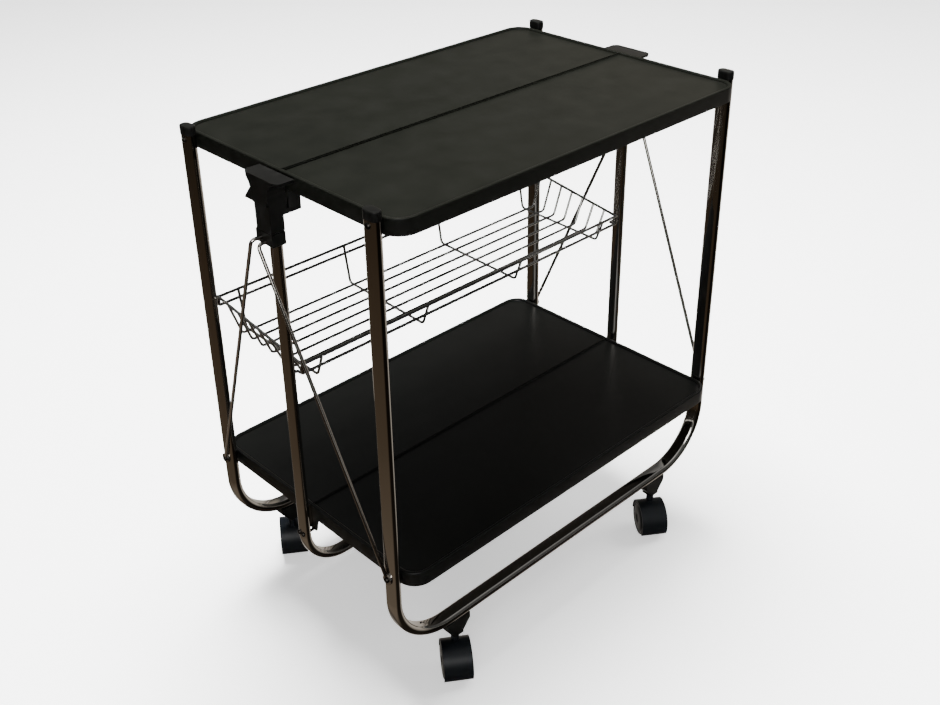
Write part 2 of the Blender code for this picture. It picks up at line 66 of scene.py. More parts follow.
def newGroup(name, inputs, outputs):
    tree = bpy.data.node_groups.new(name, "ShaderNodeTree")
    for label, kind, value in inputs:
        socket = tree.interface.new_socket(name=label, in_out="INPUT", socket_type=kind)
        if value is not None:
            socket.default_value = value
    for label, kind in outputs:
        tree.interface.new_socket(name=label, in_out="OUTPUT", socket_type=kind)
    return tree, tree.nodes.new("NodeGroupInput"), tree.nodes.new("NodeGroupOutput")


# speckle of a sprayed or moulded skin: its roughness, a height for a bump and a patch mask
grain, grainIn, grainOut = newGroup("fineGrain",
    [("Vector", "NodeSocketVector", None), ("Grain Size", "NodeSocketFloat", 900.0),
     ("Patch Size", "NodeSocketFloat", 9.0), ("Rough Low", "NodeSocketFloat", 0.3),
     ("Rough High", "NodeSocketFloat", 0.5)],
    [("Roughness", "NodeSocketFloat"), ("Height", "NodeSocketFloat"), ("Patch", "NodeSocketFloat")])
fine = addNode(grain, "ShaderNodeTexNoise", Detail=3.0, Roughness=0.6)
patch = addNode(grain, "ShaderNodeTexNoise", Detail=5.0, Roughness=0.62)
spread = addNode(grain, "ShaderNodeMapRange", **{"From Min": 0.32, "From Max": 0.68})
mixHeight = addNode(grain, "ShaderNodeMath", operation="MULTIPLY_ADD")
mixHeight.inputs[1].default_value = 0.25
link(grain, grainIn.outputs["Vector"], fine.inputs["Vector"])
link(grain, grainIn.outputs["Grain Size"], fine.inputs["Scale"])
link(grain, grainIn.outputs["Vector"], patch.inputs["Vector"])
link(grain, grainIn.outputs["Patch Size"], patch.inputs["Scale"])
link(grain, patch.outputs["Fac"], spread.inputs["Value"])
link(grain, grainIn.outputs["Rough Low"], spread.inputs["To Min"])
link(grain, grainIn.outputs["Rough High"], spread.inputs["To Max"])
link(grain, patch.outputs["Fac"], mixHeight.inputs[0])
link(grain, fine.outputs["Fac"], mixHeight.inputs[2])
link(grain, spread.outputs["Result"], grainOut.inputs["Roughness"])
link(grain, mixHeight.outputs["Value"], grainOut.inputs["Height"])
link(grain, patch.outputs["Fac"], grainOut.inputs["Patch"])

# rubbed edges: bright where the form turns sharply, broken up by noise
wear, wearIn, wearOut = newGroup("edgeWear",
    [("Vector", "NodeSocketVector", None), ("Color", "NodeSocketColor", (0.02, 0.02, 0.02, 1)),
     ("Worn Color", "NodeSocketColor", (0.1, 0.1, 0.1, 1)), ("Amount", "NodeSocketFloat", 0.5)],
    [("Color", "NodeSocketColor")])
form = addNode(wear, "ShaderNodeNewGeometry")
sharp = addNode(wear, "ShaderNodeMapRange", **{"From Min": 0.56, "From Max": 0.70})
breakup = addNode(wear, "ShaderNodeTexNoise", Scale=70.0, Detail=4.0)
breakRange = addNode(wear, "ShaderNodeMapRange", **{"From Min": 0.42, "From Max": 0.62})
both = addNode(wear, "ShaderNodeMath", operation="MULTIPLY")
scaled = addNode(wear, "ShaderNodeMath", operation="MULTIPLY")
blend = addNode(wear, "ShaderNodeMix", data_type="RGBA")
link(wear, form.outputs["Pointiness"], sharp.inputs["Value"])
link(wear, wearIn.outputs["Vector"], breakup.inputs["Vector"])
link(wear, breakup.outputs["Fac"], breakRange.inputs["Value"])
link(wear, sharp.outputs["Result"], both.inputs[0])
link(wear, breakRange.outputs["Result"], both.inputs[1])
link(wear, both.outputs["Value"], scaled.inputs[0])
link(wear, wearIn.outputs["Amount"], scaled.inputs[1])
link(wear, scaled.outputs["Value"], blend.inputs[0])
link(wear, wearIn.outputs["Color"], blend.inputs[6])
link(wear, wearIn.outputs["Worn Color"], blend.inputs[7])
link(wear, blend.outputs[2], wearOut.inputs["Color"])

# thin dust on faces that look up
dust, dustIn, dustOut = newGroup("dustVeil",
    [("Vector", "NodeSocketVector", None), ("Color", "NodeSocketColor", (0.02, 0.02, 0.02, 1)),
     ("Dust Color", "NodeSocketColor", (0.30, 0.29, 0.27, 1)), ("Amount", "NodeSocketFloat", 0.05)],
    [("Color", "NodeSocketColor")])
facing = addNode(dust, "ShaderNodeNewGeometry")
split = addNode(dust, "ShaderNodeSeparateXYZ")
upward = addNode(dust, "ShaderNodeMapRange", **{"From Min": 0.35, "From Max": 1.0})
specks = addNode(dust, "ShaderNodeTexNoise", Scale=26.0, Detail=3.0, Roughness=0.5)
speckRange = addNode(dust, "ShaderNodeMapRange", **{"From Min": 0.30, "From Max": 0.80})
settle = addNode(dust, "ShaderNodeMath", operation="MULTIPLY")
strength = addNode(dust, "ShaderNodeMath", operation="MULTIPLY")
veil = addNode(dust, "ShaderNodeMix", data_type="RGBA")
link(dust, facing.outputs["Normal"], split.inputs["Vector"])
link(dust, split.outputs["Z"], upward.inputs["Value"])
link(dust, dustIn.outputs["Vector"], specks.inputs["Vector"])
link(dust, specks.outputs["Fac"], speckRange.inputs["Value"])
link(dust, upward.outputs["Result"], settle.inputs[0])
link(dust, speckRange.outputs["Result"], settle.inputs[1])
link(dust, settle.outputs["Value"], strength.inputs[0])
link(dust, dustIn.outputs["Amount"], strength.inputs[1])
link(dust, strength.outputs["Value"], veil.inputs[0])
link(dust, dustIn.outputs["Color"], veil.inputs[6])
link(dust, dustIn.outputs["Dust Color"], veil.inputs[7])
link(dust, veil.outputs[2], dustOut.inputs["Color"])
print("node groups made")


def startFinish(name, metallic, specular=0.5):
    made = bpy.data.materials.new(name)
    made.use_nodes = True
    tree = made.node_tree
    shader = tree.nodes["Principled BSDF"]
    shader.inputs["Metallic"].default_value = metallic
    shader.inputs["Specular IOR Level"].default_value = specular
    place = tree.nodes.new("ShaderNodeTexCoord")
    return made, tree, shader, place.outputs["Object"]


def placeGroup(tree, group, vector, **values):
    node = tree.nodes.new("ShaderNodeGroup")
    node.node_tree = group
    for label, value in values.items():
        node.inputs[label.replace("_", " ")].default_value = value
    link(tree, vector, node.inputs["Vector"])
    return node


def addBump(tree, height, shader, strength, distance):
    bump = addNode(tree, "ShaderNodeBump", Strength=strength, Distance=distance)
    link(tree, height, bump.inputs["Height"])
    link(tree, bump.outputs["Normal"], shader.inputs["Normal"])


coating = {"patchSize": 7.0, "paler": 1.35, "bump": 0.35}
plating = {"grainSize": 260.0, "patchSize": 14.0, "dust": 0.05, "bump": 0.05}


def coatedFinish(name, color, worn, rough, grainSize, relief, wearAmount, dustAmount, specular):
    made, tree, shader, vector = startFinish(name, 0.0, specular)
    skin = placeGroup(tree, grain, vector, Grain_Size=grainSize, Patch_Size=coating["patchSize"],
                      Rough_Low=rough[0], Rough_High=rough[1])
    tone = addNode(tree, "ShaderNodeMix", data_type="RGBA")
    tone.inputs[6].default_value = (*color, 1)
    tone.inputs[7].default_value = (*(part * coating["paler"] for part in color), 1)
    link(tree, skin.outputs["Patch"], tone.inputs[0])
    rubbed = placeGroup(tree, wear, vector, Worn_Color=(*worn, 1), Amount=wearAmount)
    link(tree, tone.outputs[2], rubbed.inputs["Color"])
    dusty = placeGroup(tree, dust, vector, Amount=dustAmount)
    link(tree, rubbed.outputs["Color"], dusty.inputs["Color"])
    link(tree, dusty.outputs["Color"], shader.inputs["Base Color"])
    link(tree, skin.outputs["Roughness"], shader.inputs["Roughness"])
    addBump(tree, skin.outputs["Height"], shader, coating["bump"], relief)
    return made


def platedFinish(name, color, tarnish, rough, ripple):
    made, tree, shader, vector = startFinish(name, 1.0)
    skin = placeGroup(tree, grain, vector, Grain_Size=plating["grainSize"], Patch_Size=plating["patchSize"],
                      Rough_Low=rough[0], Rough_High=rough[1])
    tone = addNode(tree, "ShaderNodeMix", data_type="RGBA")
    tone.inputs[6].default_value = (*color, 1)
    tone.inputs[7].default_value = (*tarnish, 1)
    link(tree, skin.outputs["Patch"], tone.inputs[0])
    dusty = placeGroup(tree, dust, vector, Amount=plating["dust"])
    link(tree, tone.outputs[2], dusty.inputs["Color"])
    link(tree, dusty.outputs["Color"], shader.inputs["Base Color"])
    link(tree, skin.outputs["Roughness"], shader.inputs["Roughness"])
    addBump(tree, skin.outputs["Height"], shader, plating["bump"], ripple)
    return made


platings = {
    "chromeTube": {"color": (0.58, 0.56, 0.53), "tarnish": (0.50, 0.47, 0.43),
                   "rough": (0.03, 0.07), "ripple": 0.00002},
    "chromeRod": {"color": (0.50, 0.48, 0.45), "tarnish": (0.40, 0.37, 0.34),
                  "rough": (0.06, 0.12), "ripple": 0.00002},
    "chromeWire": {"color": (0.42, 0.42, 0.40), "tarnish": (0.33, 0.32, 0.31),
                   "rough": (0.08, 0.16), "ripple": 0.00002},
    "zincSteel": {"color": (0.055, 0.050, 0.045), "tarnish": (0.03, 0.027, 0.024), "rough": (0.24, 0.36),
                  "ripple": 0.00004}}
coats = {
    "upperTrayCoat": {"color": (0.0022, 0.0024, 0.0018), "worn": (0.035, 0.035, 0.03), "rough": (0.36, 0.40),
                      "grainSize": 1400.0, "relief": 0.00005, "wearAmount": 0.15, "dustAmount": 0.004,
                      "specular": 0.15},
    # the lower tray's colour is a slightly darker copy of the upper tray's: painted shade under the upper tray
    "lowerTrayShadedCoat": {"color": (0.0019, 0.0020, 0.0018), "worn": (0.03, 0.03, 0.025), "rough": (0.285, 0.31),
                      "grainSize": 1400.0, "relief": 0.00003, "wearAmount": 0.15, "dustAmount": 0.002,
                      "specular": 0.26},
    "mouldedPlastic": {"color": (0.0022, 0.0022, 0.0020), "worn": (0.03, 0.03, 0.028), "rough": (0.28, 0.38),
                       "grainSize": 1100.0, "relief": 0.00005, "wearAmount": 0.3, "dustAmount": 0.003,
                       "specular": 0.15},
    # near-black castor plastic; the blue tint in its colour and worn colour is a painted bluish sheen
    "sheenTintedWheelPlastic": {"color": (0.0022, 0.0030, 0.0042), "worn": (0.03, 0.035, 0.045), "rough": (0.36, 0.46),
                     "grainSize": 700.0, "relief": 0.00004, "wearAmount": 0.3, "dustAmount": 0.003,
                     "specular": 0.24}}
chromeTube, chromeRod, chromeWire, zincSteel = (platedFinish(name, **look) for name, look in platings.items())
upperCoat, shadedLowerCoat, blackPlastic, sheenTintedWheelPlastic = (coatedFinish(name, **look) for name, look in coats.items())
print("finishes made")


def finishPiece(name, bm, finish, body, replaced, angle, flip=True):
    if flip:
        bmesh.ops.recalc_face_normals(bm, faces=bm.faces)
    mesh = bpy.data.meshes.new(name)
    bm.to_mesh(mesh)
    bm.free()
    mesh.shade_smooth()
    mesh.set_sharp_from_angle(angle=math.radians(angle))
    mesh.materials.append(finish)
    piece = bpy.data.objects.new(name, mesh)
    bpy.context.scene.collection.objects.link(piece)
    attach(piece, body)
    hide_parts(*replaced)
    return piece


def openRing(bm, center, direction, radius, segments, straight=0.0):
    turn = Matrix.Translation(center) @ direction.to_track_quat("Z", "Y").to_matrix().to_4x4()
    ring = bmesh.ops.create_circle(bm, cap_ends=False, radius=radius, segments=segments, matrix=turn)["verts"]
    for vert in ring:
        reach = (vert.co - center).dot(alongY)
        if straight and abs(reach) > 1e-6:
            vert.co += alongY * math.copysign(straight, reach)
    return list({edge for vert in ring for edge in vert.link_edges})


def pullRing(bm, ring, offset):
    grown = bmesh.ops.extrude_edge_only(bm, edges=ring)["geom"]
    verts = [item for item in grown if isinstance(item, bmesh.types.BMVert)]
    bmesh.ops.translate(bm, verts=verts, vec=offset)
    return [item for item in grown if isinstance(item, bmesh.types.BMEdge)]


def bendTube(bm, corners, bend, steps, ring):
    first = ring
    corners = [Vector(corner) for corner in corners]
    used = 0.0
    for index in range(1, len(corners)):
        here, before = corners[index], corners[index - 1]
        run = (here - before).normalized()
        length = (here - before).length - used
        if index == len(corners) - 1:
            ring = pullRing(bm, ring, run * length)
            break
        after = (corners[index + 1] - here).normalized()
        angle = run.angle(after)
        trim = bend * math.tan(angle / 2)
        ring = pullRing(bm, ring, run * (length - trim))
        axis = run.cross(after).normalized()
        center = here - run * trim + axis.cross(run) * bend
        turned = bmesh.ops.spin(bm, geom=ring, cent=center, axis=axis, angle=angle, steps=steps,
                                use_duplicate=False)
        ring = [item for item in turned["geom_last"] if isinstance(item, bmesh.types.BMEdge)]
        used = trim
    for loop in (first, ring):
        bmesh.ops.edgeloop_fill(bm, edges=loop)


def spinProfile(bm, profile, center, axis, steps, start):
    side = start.normalized()
    verts = [bm.verts.new(center + axis * along + side * radius) for along, radius in profile]
    edges = [bm.edges.new(pair) for pair in zip(verts, verts[1:])]
    bmesh.ops.spin(bm, geom=verts + edges, cent=center, axis=axis, angle=math.tau, steps=steps,
                   use_merge=True)
    bmesh.ops.remove_doubles(bm, verts=bm.verts, dist=1e-6)


def bevelEdges(bm, edges, width, segments):
    bmesh.ops.bevel(bm, geom=edges, offset=width, offset_type="OFFSET", segments=segments, profile=0.5,
                    affect="EDGES", clamp_overlap=True, material=-1)


def softened(name, node, finish, body, width, segments=2, angle=28):
    bm = bmesh.new()
    bm.from_mesh(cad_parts[node].data)
    bmesh.ops.remove_doubles(bm, verts=bm.verts, dist=1e-5)
    bmesh.ops.dissolve_limit(bm, angle_limit=math.radians(1.5), verts=bm.verts, edges=bm.edges)
    crisp = [edge for edge in bm.edges
             if len(edge.link_faces) == 2 and edge.calc_face_angle(0) > math.radians(angle)]
    bevelEdges(bm, crisp, width, segments)
    piece = finishPiece(name, bm, finish, body, (node,), angle=50, flip=False)
    # keeps the broad faces flat beside their rounded edges
    even = piece.modifiers.new("even", "WEIGHTED_NORMAL")
    even.keep_sharp = True
    return piece


def boxOf(node):
    low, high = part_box(node)
    return low, high, (low + high) / 2


tubing = {"sideThick": 0.0136, "centerThick": 0.012, "sideBend": 0.088, "centerBend": 0.062, "bendSteps": 22,
          "ringSegments": 40}


def makeTubeFrame(node, body, thick, bend):
    low, high, middle = boxOf(node)
    x, y = high.x - thick / 2, middle.y
    rail = low.z + thick / 2
    straight = (high.y - low.y - thick) / 2
    bm = bmesh.new()
    ring = openRing(bm, Vector((-x, y, high.z)), -alongZ, thick / 2, tubing["ringSegments"], straight)
    bendTube(bm, [(-x, y, high.z), (-x, y, rail), (x, y, rail), (x, y, high.z)], bend, tubing["bendSteps"], ring)
    return finishPiece(node + "Tube", bm, chromeTube, body, (node,), angle=50)


for side in sides:
    makeTubeFrame(side + "_frame", side + "_side", tubing["sideThick"], tubing["sideBend"])
makeTubeFrame("center_frame", "middle", tubing["centerThick"], tubing["centerBend"])
print("tube frames made")

tubeCap = {"crown": 0.0016, "steps": 3, "ringSegments": 36}


def makeTubeCap(node, body):
    low, high, middle = boxOf(node)
    thick = high.x - low.x
    straight = (high.y - low.y - thick) / 2
    bm = bmesh.new()
    ring = openRing(bm, Vector((middle.x, middle.y, low.z)), alongZ, thick / 2, tubeCap["ringSegments"],
                    straight)
    bottom = ring
    ring = pullRing(bm, ring, alongZ * (high.z - low.z))
    bmesh.ops.edgeloop_fill(bm, edges=bottom)
    bmesh.ops.edgeloop_fill(bm, edges=ring)
    bevelEdges(bm, ring, tubeCap["crown"], tubeCap["steps"])
    return finishPiece(node + "Plug", bm, blackPlastic, body, (node,), angle=40)


for side in sides:
    for end in ends:
        makeTubeCap(f"tube_cap_{side}_{end}", side + "_side")
print("tube caps made")

tray = {"skirt": 0.021, "corner": 0.028, "cornerSteps": 12, "lip": 0.0050, "slope": 0.0014, "recess": 0.0030,
        "crown": 0.0021, "sheet": 0.0012, "margins": (0.003, 0.003, 0.006), "hem": 0.0022,
        "seamLip": 0.0005, "seamPanel": 0.0008, "crownSteps": 4, "hemStart": 0.07}
lug = {"wide": 0.014, "foot": 0.0085, "sheet": 0.0014, "inset": 0.00075, "overlap": 0.003, "corner": 0.003,
       "cornerSteps": 5}


def addLug(bm, x, seam, sign, foot, top):
    tall = top + lug["overlap"] - foot
    middle = Vector((x, sign * (abs(seam) + lug["wide"] / 2), foot + tall / 2))
    shape = Matrix.Translation(middle) @ Matrix.Diagonal((lug["sheet"], lug["wide"], tall, 1))
    plate = bmesh.ops.create_cube(bm, size=1, matrix=shape)["verts"]
    for vert in plate:    # tapers down to the eye of the pivot
        if vert.co.z < middle.z and abs(vert.co.y) > lug["wide"] / 2:
            vert.co.y = sign * lug["foot"]
    corners = [edge for edge in {edge for vert in plate for edge in vert.link_edges}
               if abs(edge.verts[0].co.x - edge.verts[1].co.x) > 0.001 and edge.verts[0].co.z < middle.z]
    bevelEdges(bm, corners, lug["corner"], lug["cornerSteps"])


def makeTrayHalf(shelf, side):
    node = f"{shelf}_tray_{side}"
    low, high, middle = boxOf(node)
    sign = sides[side]
    bm = bmesh.new()
    seam = min(low.y, high.y, key=abs)
    size = Matrix.Diagonal((high.x - low.x, high.y - low.y, tray["skirt"], 1))
    place = Matrix.Translation((middle.x, middle.y, high.z - tray["skirt"] / 2))
    bmesh.ops.create_cube(bm, size=1, matrix=place @ size)
    outer = [edge for edge in bm.edges if abs(edge.verts[0].co.z - edge.verts[1].co.z) > 0.01
             and sign * edge.verts[0].co.y > sign * middle.y]
    bevelEdges(bm, outer, tray["corner"], tray["cornerSteps"])
    bmesh.ops.delete(bm, geom=[face for face in bm.faces if face.normal.z < -0.9], context="FACES_ONLY")
    top = [face for face in bm.faces if face.normal.z > 0.9]
    bmesh.ops.inset_region(bm, faces=top, thickness=tray["lip"], use_even_offset=True)
    bmesh.ops.inset_region(bm, faces=top, thickness=tray["slope"], depth=-tray["recess"], use_even_offset=True)
    for margin in tray["margins"]:    # flat rings that keep the edge wear off the panel
        bmesh.ops.inset_region(bm, faces=top, thickness=margin, use_even_offset=True)
    for vert in bm.verts:    # the recess runs right through the seam, where the panel just turns down
        if sign * (vert.co.y - seam) < tray["lip"] + tray["slope"] + 0.0002 and abs(vert.co.x) < high.x - 0.001:
            panel = abs(vert.co.x) < high.x - tray["lip"] - 0.0008
            vert.co.y = seam + sign * (tray["seamPanel"] if panel else tray["seamLip"])
    crest = [edge for edge in bm.edges if edge.calc_length() > 0.002
             and all(abs(vert.co.z - high.z) < 1e-6 for vert in edge.verts)
             and not all(sign * (vert.co.y - seam) < 0.0008 for vert in edge.verts)]
    bevelEdges(bm, crest, tray["crown"], tray["crownSteps"])
    rim = [edge for edge in bm.edges if edge.is_boundary]
    grown = bmesh.ops.extrude_edge_only(bm, edges=rim)["geom"]
    for vert in (item for item in grown if isinstance(item, bmesh.types.BMVert)):    # hem turned inwards
        if abs(vert.co.x) > high.x - tray["corner"]:
            vert.co.x -= math.copysign(tray["hem"], vert.co.x - middle.x)
        if abs(vert.co.y - middle.y) > tray["hemStart"]:
            vert.co.y -= math.copysign(tray["hem"], vert.co.y - middle.y)
    bmesh.ops.recalc_face_normals(bm, faces=bm.faces)
    bmesh.ops.solidify(bm, geom=bm.faces[:], thickness=tray["sheet"])
    for way in ends.values():
        addLug(bm, way * (high.x - lug["inset"]), seam, sign, low.z, high.z - tray["skirt"])
    # the lower tray takes the darker copy of the coat, painted shade
    coat = upperCoat if shelf == "upper" else shadedLowerCoat
    body = f"{shelf}_{side}_shelf"
    return finishPiece(f"{shelf}Tray{side.capitalize()}", bm, coat, body, (node,), angle=38, flip=False)


for shelf in ("upper", "lower"):
    for side in sides:
        makeTrayHalf(shelf, side)
print("trays made")

screw = {"dome": 0.0022, "rim": 0.0002, "shank": 0.0021, "tail": 0.0026, "tailHigh": 0.0018, "tailChamfer": 0.0004,
         "steps": 32}


def makeScrew(node, body):
    low, high, middle = boxOf(node)
    way = 1 if middle.x > 0 else -1
    head = (high.z - low.z) / 2
    outer, inner = (high.x, low.x) if way > 0 else (low.x, high.x)
    length = abs(outer - inner)
    dome, rim, shank, tail = (screw[key] for key in ("dome", "rim", "shank", "tail"))
    nut = screw["tailHigh"] - length
    profile = [(0, 0), (-rim, head * 0.45), (-dome * 0.30, head * 0.80), (-dome * 0.75, head), (-dome - rim, head),
               (-dome - rim, shank), (nut, shank), (nut, tail), (screw["tailChamfer"] - length, tail),
               (-length, tail * 0.7), (-length, 0)]
    bm = bmesh.new()
    spinProfile(bm, profile, Vector((outer, middle.y, middle.z)), alongX * way, screw["steps"], alongZ)
    return finishPiece(node + "Rivet", bm, zincSteel, body, (node,), angle=32)


for side in sides:
    for end in ends:
        makeScrew(f"upper_pivot_{side}_{end}", side + "_side")
        makeScrew(f"lower_pivot_{side}_{end}", side + "_side")
        makeScrew(f"center_pivot_{side}_{end}", "middle")
print("pivot screws made")

stay = {"rod": 0.0025, "eye": 0.0075, "eyeHalf": 0.0014, "bend": 0.006, "bendSteps": 10, "hole": 0.0026,
        "tipX": 0.3381, "startGap": 0.0055, "startShift": 0.0006, "rodSegments": 20, "eyeSegments": 40}


def makeStay(side, end):
    node = f"stay_{side}_{end}"
    low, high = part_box(node)
    way, sign = ends[end], sides[side]
    rod = stay["rod"]
    eyeX = (low.x if way > 0 else high.x) + way * stay["eyeHalf"]
    topX = (high.x if way > 0 else low.x) - way * rod
    eyeY = (low.y if sign < 0 else high.y) - sign * stay["eye"]
    hookY = (high.y if sign < 0 else low.y) + sign * rod
    eye = Vector((eyeX, eyeY, low.z + stay["eye"]))
    hook = Vector((topX, hookY, high.z - rod))
    run = (hook - eye).normalized()
    start = eye + run * stay["startGap"] + Vector((way * stay["startShift"], 0, 0))
    bm = bmesh.new()
    ring = openRing(bm, start, (hook - start).normalized(), rod, stay["rodSegments"])
    corners = [start, hook, (way * stay["tipX"], hookY, hook.z)]
    bendTube(bm, corners, stay["bend"], stay["bendSteps"], ring)
    turn = Matrix.Translation(eye) @ Matrix.Rotation(math.radians(90), 4, "Y")
    verts = []
    for radius in (stay["eye"], stay["hole"]):
        verts += bmesh.ops.create_circle(bm, cap_ends=False, radius=radius, segments=stay["eyeSegments"],
                                         matrix=turn)["verts"]
    rings = list({edge for vert in verts for edge in vert.link_edges})
    flat = bmesh.ops.bridge_loops(bm, edges=rings)["faces"]
    bmesh.ops.translate(bm, verts=verts, vec=alongX * -stay["eyeHalf"])
    block = bmesh.ops.extrude_face_region(bm, geom=flat, use_keep_orig=True)["geom"]
    grown = [item for item in block if isinstance(item, bmesh.types.BMVert)]
    bmesh.ops.translate(bm, verts=grown, vec=alongX * 2 * stay["eyeHalf"])
    return finishPiece(f"stay{side.capitalize()}{end.capitalize()}", bm, chromeRod, f"stay_rod_{side}_{end}",
                       (node,), angle=40)


for side in sides:
    for end in ends:
        makeStay(side, end)
print("stay rods made")

basket = {"rail": 0.0021, "wire": 0.0019, "second": 0.0130, "endX": 0.3095, "floorInset": 0.018, "count": 7,
          "back": (0.1755, 0.4985), "front": (-0.0075, 0.4710), "floorBack": (0.1655, 0.4430),
          "floorFront": (0.0050, 0.4390), "crossDrop": 0.0022, "crossX": (-0.2775, -0.0925, 0.0925, 0.2775),
          "railOverrun": 0.002, "bend": 0.0065, "pivotBend": 0.0018, "bendSteps": 6, "ringSegments": 12,
          "backPivotZ": 0.4875, "backPivotX": 0.3160, "frontPivot": (0.0042, 0.4565), "frontPivotX": 0.3220}


def addWire(bm, points, radius, bend):
    points = [Vector(point) for point in points]
    ring = openRing(bm, points[0], (points[1] - points[0]).normalized(), radius, basket["ringSegments"])
    bendTube(bm, points, bend, basket["bendSteps"], ring)


def share(y, near, far, start, stop):
    return near + (far - near) * (y - start) / (stop - start)


def makeBasket():
    rail, wire, bend, endX, second = (basket[key] for key in ("rail", "wire", "bend", "endX", "second"))
    (backY, backZ), (frontY, frontZ) = basket["back"], basket["front"]
    (floorBackY, floorBackZ), (floorFrontY, floorFrontZ) = basket["floorBack"], basket["floorFront"]
    bm = bmesh.new()
    for y, z in ((backY, backZ), (backY, backZ - second), (frontY, frontZ), (frontY, frontZ - second)):
        addWire(bm, [(-endX, y, z), (endX, y, z)], rail, bend)
    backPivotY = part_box("basket")[1].y - rail
    pivots = ((backPivotY, basket["backPivotZ"], basket["backPivotX"], backY, backZ),
              (*basket["frontPivot"], basket["frontPivotX"], frontY, frontZ))
    for way in ends.values():
        x = way * endX
        over = basket["railOverrun"]
        addWire(bm, [(x, frontY - over, frontZ), (x, backY + over, backZ)], rail, bend)
        for y, z, stub, railY, railZ in pivots:
            addWire(bm, [(x, railY, railZ), (x, railY, railZ - second), (x, y, z), (way * stub, y, z)], rail,
                    basket["pivotBend"])
    inner = endX - basket["floorInset"]
    for step in range(basket["count"]):
        y = share(step + 0.5, floorFrontY, floorBackY, 0, basket["count"])
        top = share(y, frontZ, backZ, frontY, backY)
        deep = share(y, floorFrontZ, floorBackZ, floorFrontY, floorBackY)
        addWire(bm, [(-endX, y, top), (-inner, y, deep), (inner, y, deep), (endX, y, top)], wire, bend)
    drop = basket["crossDrop"]
    for x in basket["crossX"]:
        addWire(bm, [(x, backY, backZ), (x, floorBackY, floorBackZ - drop), (x, floorFrontY, floorFrontZ - drop),
                     (x, frontY, frontZ)], wire, bend)
    return finishPiece("basketWires", bm, chromeWire, "wire_basket", ("basket",), angle=45)


makeBasket()
print("basket made")

handle = {"edge": 0.0007}
slider = {"edge": 0.0012, "steps": 3}
for end in ends:
    softened(f"handle{end.capitalize()}", f"handle_hub_{end}", blackPlastic, "middle", handle["edge"])
    softened(f"slider{end.capitalize()}", f"slider_{end}", blackPlastic, f"slider_block_{end}", slider["edge"],
             slider["steps"])
print("handles made")

castor = {"radius": 0.027, "hub": 0.0036, "near": 0.0070, "far": 0.0205, "trail": 0.008,
          "azimuth": math.radians(-35), "steps": 64, "socketEdge": 0.0012, "hoodEdge": 0.0009, "edgeSteps": 3,
          "hoodAngle": 40}


def makeWheel(node, body, center, axis):
    r, near, far = castor["radius"], castor["near"], castor["far"]
    # from the inner face over the tread to the dished outer face
    profile = [(near, castor["hub"]), (near, r * 0.90), (near + 0.0006, r * 0.955), (near + 0.0022, r * 0.992),
               (near + 0.0045, r), (far - 0.0045, r), (far - 0.0020, r * 0.990), (far - 0.0006, r * 0.955),
               (far - 0.0001, r * 0.91), (far - 0.0009, r * 0.86), (far - 0.0012, r * 0.80),
               (far - 0.0006, r * 0.74), (far, r * 0.70), (far, r * 0.30), (far - 0.0004, r * 0.25),
               (far - 0.0010, r * 0.22), (far - 0.0010, 0)]
    bm = bmesh.new()
    spinProfile(bm, profile, center, axis, castor["steps"], alongZ)
    return finishPiece(node + "Disc", bm, sheenTintedWheelPlastic, body, (node,), angle=30)


for side, sign in sides.items():
    for end in ends:
        label = f"{side}_{end}"
        softened(f"castorSocket_{label}", f"castor_socket_{label}", blackPlastic, side + "_side",
                 castor["socketEdge"], castor["edgeSteps"])
        # the hood shares the wheel plastic and its painted bluish sheen tint
        softened(f"castorHood_{label}", f"castor_hood_{label}", sheenTintedWheelPlastic, f"castor_{label}",
                 castor["hoodEdge"], castor["edgeSteps"], angle=castor["hoodAngle"])
        for part in ("castor_stem", "castor_axle"):
            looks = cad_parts[f"{part}_{label}"].data.materials
            looks.clear()
            looks.append(zincSteel)
        stem = boxOf(f"castor_stem_{label}")[2]
        turn = Matrix.Rotation(castor["azimuth"], 3, "Z")
        center = Vector((stem.x, stem.y, castor["radius"])) + turn @ Vector((0, sign * castor["trail"], 0))
        axle = turn @ alongX
        makeWheel(f"wheel_inner_{label}", f"wheel_inner_body_{label}", center, axle)
        makeWheel(f"wheel_outer_{label}", f"wheel_outer_body_{label}", center, -axle)
print("castors made")

studio = {"floorSize": 30, "floor": (0.93, 0.93, 0.93), "floorPale": 1.015, "floorGlow": 0.7,
          "floorSpecular": 0.2, "backdrop": (1.3, 1.3, 1.3, 1)}
panels = {
    "keyPanel": {"place": (0.2, 0.6, 3.4), "aim": (0, 0, 0.4), "size": (1.7, 1.7), "power": 760, "mirrored": False},
    "fillPanel": {"place": (-2.6, -2.4, 2.2), "aim": (0, 0, 0.3), "size": (2.2, 2.0), "power": 85, "mirrored": True},
    "sidePanel": {"place": (3.2, -1.2, 3.0), "aim": (0, 0, 0.4), "size": (2.4, 1.8), "power": 130, "mirrored": False}}
bm = bmesh.new()
bmesh.ops.create_grid(bm, x_segments=2, y_segments=2, size=studio["floorSize"])
floorMesh = bpy.data.meshes.new("floor")
bm.to_mesh(floorMesh)
bm.free()
floor = bpy.data.objects.new("floor", floorMesh)
bpy.context.scene.collection.objects.link(floor)
pale, tree, shader, vector = startFinish("paleFloor", 0.0, studio["floorSpecular"])
mottle = placeGroup(tree, grain, vector, Grain_Size=40.0, Patch_Size=1.2, Rough_Low=0.75, Rough_High=0.9)
tone = addNode(tree, "ShaderNodeMix", data_type="RGBA")
tone.inputs[6].default_value = (*studio["floor"], 1)
tone.inputs[7].default_value = (*(part * studio["floorPale"] for part in studio["floor"]), 1)
link(tree, mottle.outputs["Patch"], tone.inputs[0])
link(tree, tone.outputs[2], shader.inputs["Base Color"])
link(tree, mottle.outputs["Roughness"], shader.inputs["Roughness"])
shader.inputs["Emission Color"].default_value = (1, 1, 1, 1)
shader.inputs["Emission Strength"].default_value = studio["floorGlow"]
floorMesh.materials.append(pale)
floor.visible_glossy = False


